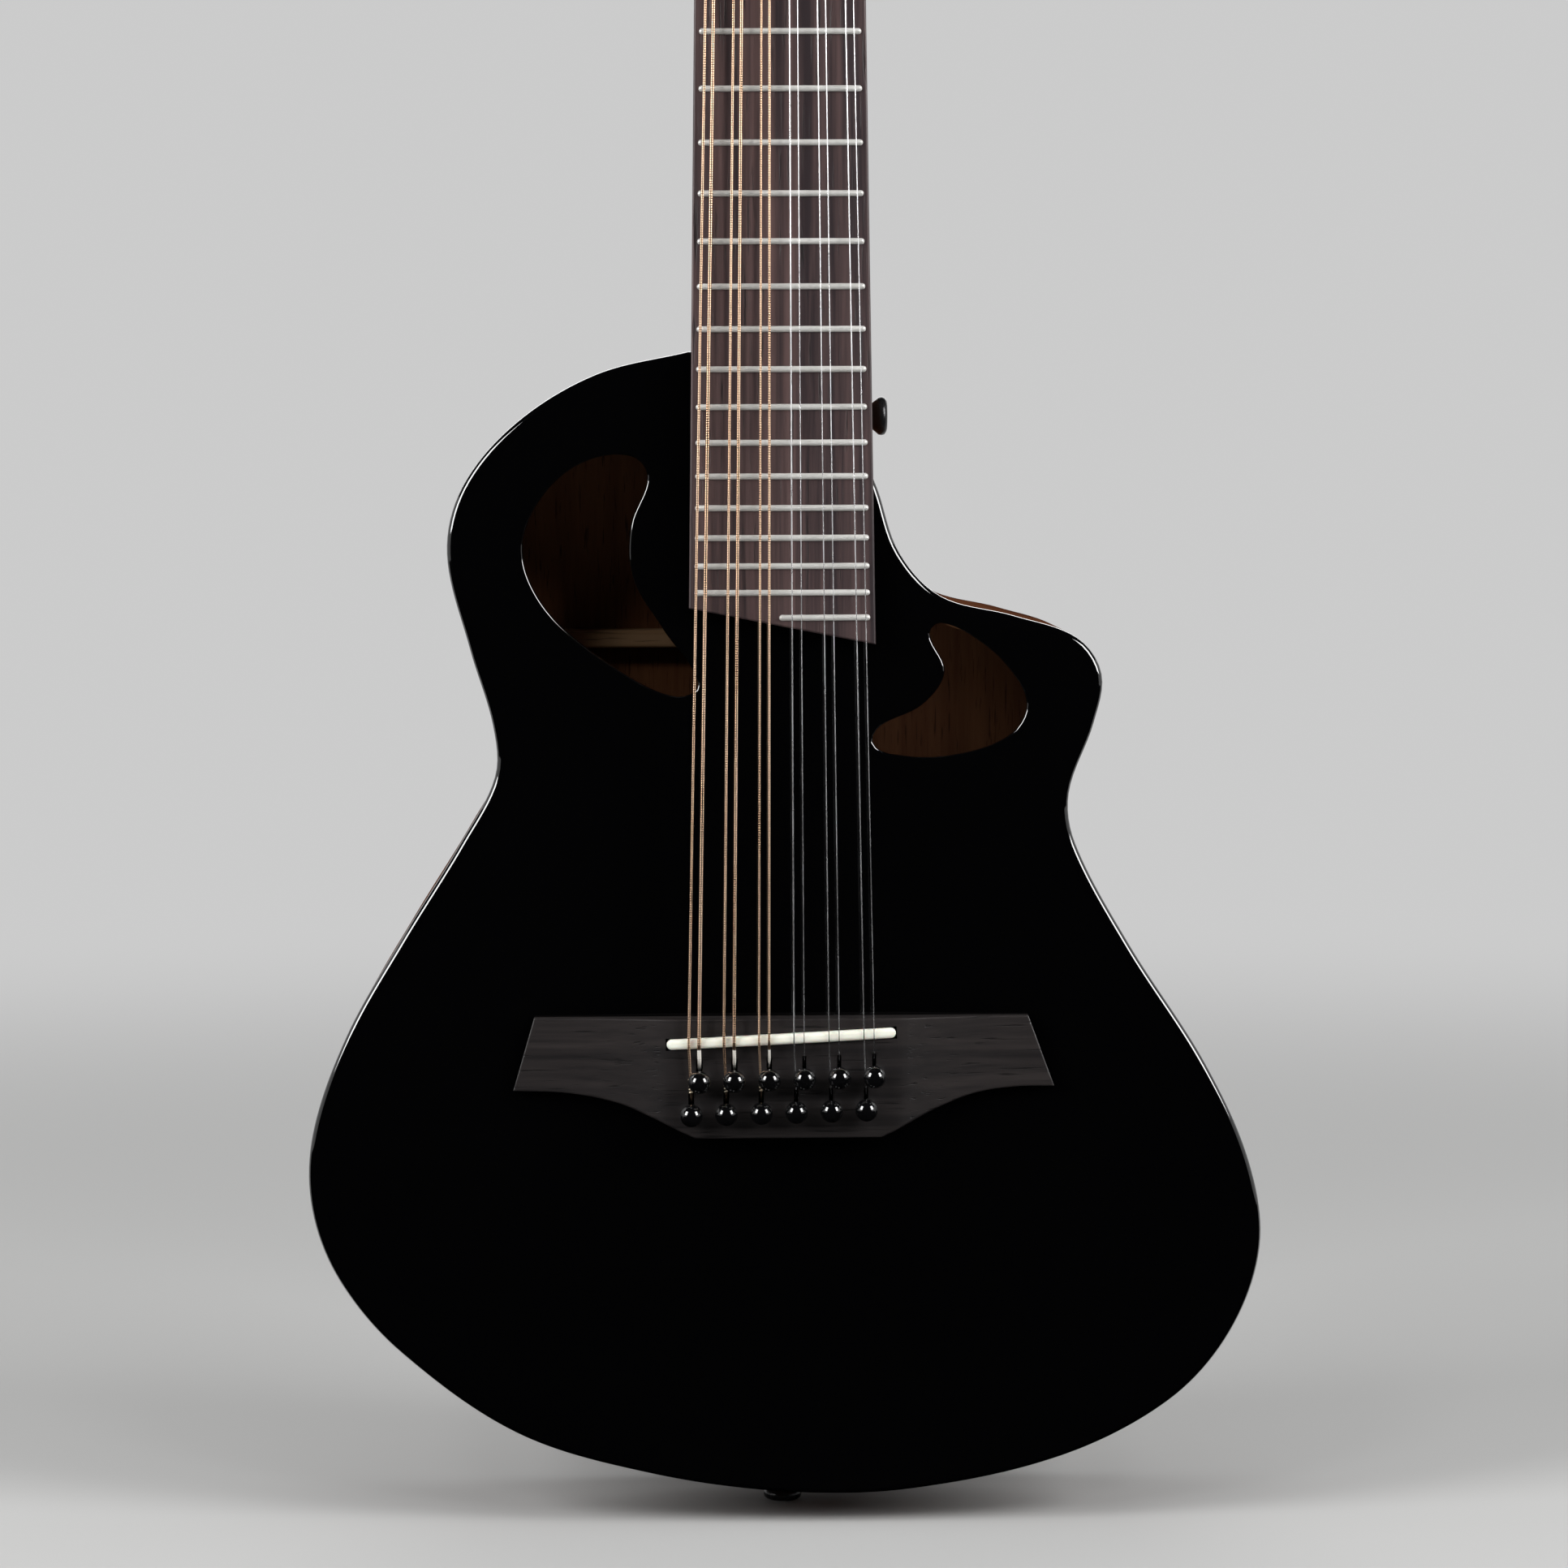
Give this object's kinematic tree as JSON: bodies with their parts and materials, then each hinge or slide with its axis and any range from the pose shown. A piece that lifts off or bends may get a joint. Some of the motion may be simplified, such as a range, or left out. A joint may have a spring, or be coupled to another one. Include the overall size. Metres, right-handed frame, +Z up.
{
  "type": "twelve-string guitar",
  "caption": "Acoustic guitar with paired strings, a deep treble cutaway, two offset sound holes, a pinned bridge and geared tuners that turn their posts.",
  "frame": {"origin": "centre of the tail strap button's flat end, on the neck's centre line", "axes": "+Z up the neck towards the headstock, +X towards the treble side with the cutaway, -Y out of the soundboard"},
  "size_m": [0.3019, 0.0974, 0.8034],
  "materials": {
    "black_lacquer": "high-gloss black lacquer over spruce",
    "black_metal": "black strap button",
    "bone": "off-white polished bone substitute",
    "bronze_string": "wound bronze wire",
    "chrome": "polished chrome",
    "dark_bridge_wood": "satin dark brown hardwood",
    "gloss_black_plastic": "gloss black",
    "mahogany": "clear-lacquered orange-brown mahogany",
    "rosewood": "oiled dark rosewood with silver frets",
    "steel_string": "plain steel wire"
  },
  "bodies": {
    "guitar": {"soundboard": "black_lacquer", "back": "mahogany", "rim": "mahogany", "neck": "mahogany", "fretboard": "rosewood", "nut": "bone", "bridge": "dark_bridge_wood", "saddle": "bone", "bridge_pin_01": "gloss_black_plastic", "bridge_pin_02": "gloss_black_plastic", "bridge_pin_03": "gloss_black_plastic", "bridge_pin_04": "gloss_black_plastic", "bridge_pin_05": "gloss_black_plastic", "bridge_pin_06": "gloss_black_plastic", "bridge_pin_07": "gloss_black_plastic", "bridge_pin_08": "gloss_black_plastic", "bridge_pin_09": "gloss_black_plastic", "bridge_pin_10": "gloss_black_plastic", "bridge_pin_11": "gloss_black_plastic", "bridge_pin_12": "gloss_black_plastic", "strap_button_tail": "black_metal", "strap_button_heel": "black_metal", "tuner_plate_bass": "chrome", "tuner_plate_treble": "chrome", "string_01": "bronze_string", "string_02": "bronze_string", "string_03": "bronze_string", "string_04": "bronze_string", "string_05": "bronze_string", "string_06": "bronze_string", "string_07": "steel_string", "string_08": "steel_string", "string_09": "steel_string", "string_10": "steel_string", "string_11": "steel_string", "string_12": "steel_string"},
    "button_01": {"tuner_button_01": "chrome"},
    "post_01": {"tuner_post_01": "chrome"},
    "button_02": {"tuner_button_02": "chrome"},
    "post_02": {"tuner_post_02": "chrome"},
    "button_03": {"tuner_button_03": "chrome"},
    "post_03": {"tuner_post_03": "chrome"},
    "button_04": {"tuner_button_04": "chrome"},
    "post_04": {"tuner_post_04": "chrome"},
    "button_05": {"tuner_button_05": "chrome"},
    "post_05": {"tuner_post_05": "chrome"},
    "button_06": {"tuner_button_06": "chrome"},
    "post_06": {"tuner_post_06": "chrome"},
    "button_07": {"tuner_button_07": "chrome"},
    "post_07": {"tuner_post_07": "chrome"},
    "button_08": {"tuner_button_08": "chrome"},
    "post_08": {"tuner_post_08": "chrome"},
    "button_09": {"tuner_button_09": "chrome"},
    "post_09": {"tuner_post_09": "chrome"},
    "button_10": {"tuner_button_10": "chrome"},
    "post_10": {"tuner_post_10": "chrome"},
    "button_11": {"tuner_button_11": "chrome"},
    "post_11": {"tuner_post_11": "chrome"},
    "button_12": {"tuner_button_12": "chrome"},
    "post_12": {"tuner_post_12": "chrome"}
  },
  "joints": [
    {"name": "button_01_turn", "type": "hinge", "parent": "guitar", "child": "button_01", "pos_m": [-0.027, -0.0129, 0.65716], "axis": [1, 0, 0], "continuous": true},
    {"name": "post_01_turn", "type": "hinge", "parent": "guitar", "child": "post_01", "pos_m": [-0.027, -0.02969, 0.66753], "axis": [0, -0.9703, 0.2419], "continuous": true},
    {"name": "button_02_turn", "type": "hinge", "parent": "guitar", "child": "button_02", "pos_m": [-0.027, -0.00709, 0.68045], "axis": [1, 0, 0], "continuous": true},
    {"name": "post_02_turn", "type": "hinge", "parent": "guitar", "child": "post_02", "pos_m": [-0.027, -0.02388, 0.69082], "axis": [0, -0.9703, 0.2419], "continuous": true},
    {"name": "button_03_turn", "type": "hinge", "parent": "guitar", "child": "button_03", "pos_m": [-0.027, -0.00129, 0.70373], "axis": [1, 0, 0], "continuous": true},
    {"name": "post_03_turn", "type": "hinge", "parent": "guitar", "child": "post_03", "pos_m": [-0.027, -0.01808, 0.7141], "axis": [0, -0.9703, 0.2419], "continuous": true},
    {"name": "button_04_turn", "type": "hinge", "parent": "guitar", "child": "button_04", "pos_m": [-0.027, 0.00452, 0.72702], "axis": [1, 0, 0], "continuous": true},
    {"name": "post_04_turn", "type": "hinge", "parent": "guitar", "child": "post_04", "pos_m": [-0.027, -0.01227, 0.73739], "axis": [0, -0.9703, 0.2419], "continuous": true},
    {"name": "button_05_turn", "type": "hinge", "parent": "guitar", "child": "button_05", "pos_m": [-0.027, 0.01032, 0.75031], "axis": [1, 0, 0], "continuous": true},
    {"name": "post_05_turn", "type": "hinge", "parent": "guitar", "child": "post_05", "pos_m": [-0.027, -0.00647, 0.76068], "axis": [0, -0.9703, 0.2419], "continuous": true},
    {"name": "button_06_turn", "type": "hinge", "parent": "guitar", "child": "button_06", "pos_m": [-0.027, 0.01613, 0.7736], "axis": [1, 0, 0], "continuous": true},
    {"name": "post_06_turn", "type": "hinge", "parent": "guitar", "child": "post_06", "pos_m": [-0.027, -0.00066, 0.78397], "axis": [0, -0.9703, 0.2419], "continuous": true},
    {"name": "button_07_turn", "type": "hinge", "parent": "guitar", "child": "button_07", "pos_m": [0.027, 0.01613, 0.7736], "axis": [1, 0, 0], "continuous": true},
    {"name": "post_07_turn", "type": "hinge", "parent": "guitar", "child": "post_07", "pos_m": [0.027, -0.00066, 0.78397], "axis": [0, -0.9703, 0.2419], "continuous": true},
    {"name": "button_08_turn", "type": "hinge", "parent": "guitar", "child": "button_08", "pos_m": [0.027, 0.01032, 0.75031], "axis": [1, 0, 0], "continuous": true},
    {"name": "post_08_turn", "type": "hinge", "parent": "guitar", "child": "post_08", "pos_m": [0.027, -0.00647, 0.76068], "axis": [0, -0.9703, 0.2419], "continuous": true},
    {"name": "button_09_turn", "type": "hinge", "parent": "guitar", "child": "button_09", "pos_m": [0.027, 0.00452, 0.72702], "axis": [1, 0, 0], "continuous": true},
    {"name": "post_09_turn", "type": "hinge", "parent": "guitar", "child": "post_09", "pos_m": [0.027, -0.01227, 0.73739], "axis": [0, -0.9703, 0.2419], "continuous": true},
    {"name": "button_10_turn", "type": "hinge", "parent": "guitar", "child": "button_10", "pos_m": [0.027, -0.00129, 0.70373], "axis": [1, 0, 0], "continuous": true},
    {"name": "post_10_turn", "type": "hinge", "parent": "guitar", "child": "post_10", "pos_m": [0.027, -0.01808, 0.7141], "axis": [0, -0.9703, 0.2419], "continuous": true},
    {"name": "button_11_turn", "type": "hinge", "parent": "guitar", "child": "button_11", "pos_m": [0.027, -0.00709, 0.68045], "axis": [1, 0, 0], "continuous": true},
    {"name": "post_11_turn", "type": "hinge", "parent": "guitar", "child": "post_11", "pos_m": [0.027, -0.02388, 0.69082], "axis": [0, -0.9703, 0.2419], "continuous": true},
    {"name": "button_12_turn", "type": "hinge", "parent": "guitar", "child": "button_12", "pos_m": [0.027, -0.0129, 0.65716], "axis": [1, 0, 0], "continuous": true},
    {"name": "post_12_turn", "type": "hinge", "parent": "guitar", "child": "post_12", "pos_m": [0.027, -0.02969, 0.66753], "axis": [0, -0.9703, 0.2419], "continuous": true}
  ],
  "couplings": [
    {"joint": "post_01_turn", "follows": "button_01_turn", "ratio": -0.083333},
    {"joint": "post_02_turn", "follows": "button_02_turn", "ratio": -0.083333},
    {"joint": "post_03_turn", "follows": "button_03_turn", "ratio": -0.083333},
    {"joint": "post_04_turn", "follows": "button_04_turn", "ratio": -0.083333},
    {"joint": "post_05_turn", "follows": "button_05_turn", "ratio": -0.083333},
    {"joint": "post_06_turn", "follows": "button_06_turn", "ratio": -0.083333},
    {"joint": "post_07_turn", "follows": "button_07_turn", "ratio": 0.083333},
    {"joint": "post_08_turn", "follows": "button_08_turn", "ratio": 0.083333},
    {"joint": "post_09_turn", "follows": "button_09_turn", "ratio": 0.083333},
    {"joint": "post_10_turn", "follows": "button_10_turn", "ratio": 0.083333},
    {"joint": "post_11_turn", "follows": "button_11_turn", "ratio": 0.083333},
    {"joint": "post_12_turn", "follows": "button_12_turn", "ratio": 0.083333}
  ]
}
